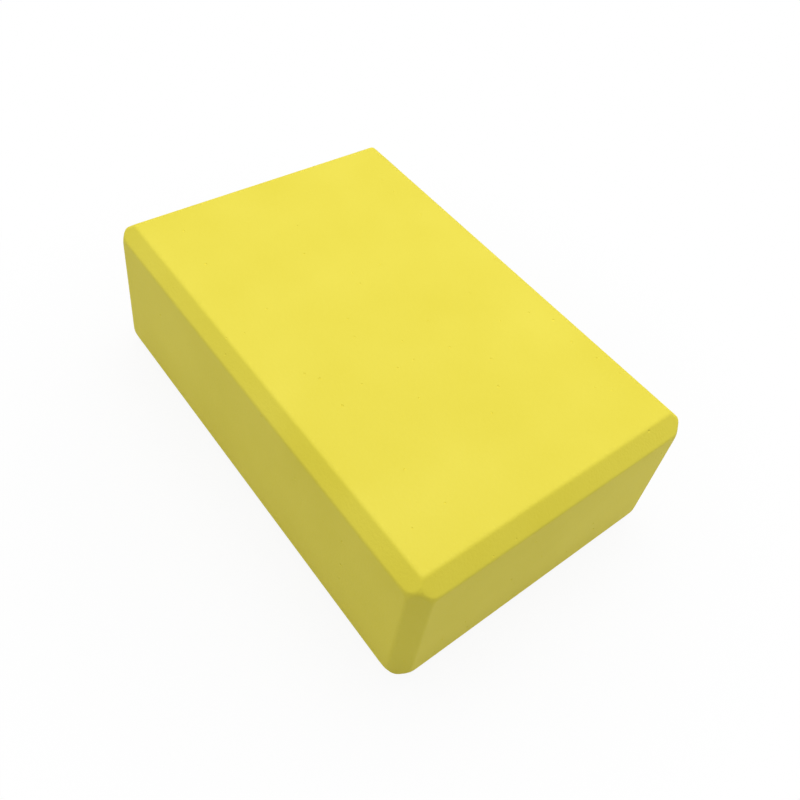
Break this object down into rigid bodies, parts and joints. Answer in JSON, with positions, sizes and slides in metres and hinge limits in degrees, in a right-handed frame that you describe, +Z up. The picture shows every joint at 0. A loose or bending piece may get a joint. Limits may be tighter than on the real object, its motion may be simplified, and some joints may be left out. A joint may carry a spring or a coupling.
{
  "type": "yoga block",
  "caption": "Plain rectangular foam block with flat bevelled edges, laid flat, on its side or on end to bring the floor nearer to a hand, foot or seat in yoga and stretching.",
  "frame": {"origin": "middle of the large face that the block lies on", "axes": "+X along the length, +Y across the width, +Z up through the thickness"},
  "size_m": [0.23, 0.15, 0.075],
  "materials": {
    "eva_foam": "matte yellow closed-cell EVA foam, cut and bevelled"
  },
  "bodies": {
    "root": {"foam_block": "eva_foam"}
  },
  "joints": []
}
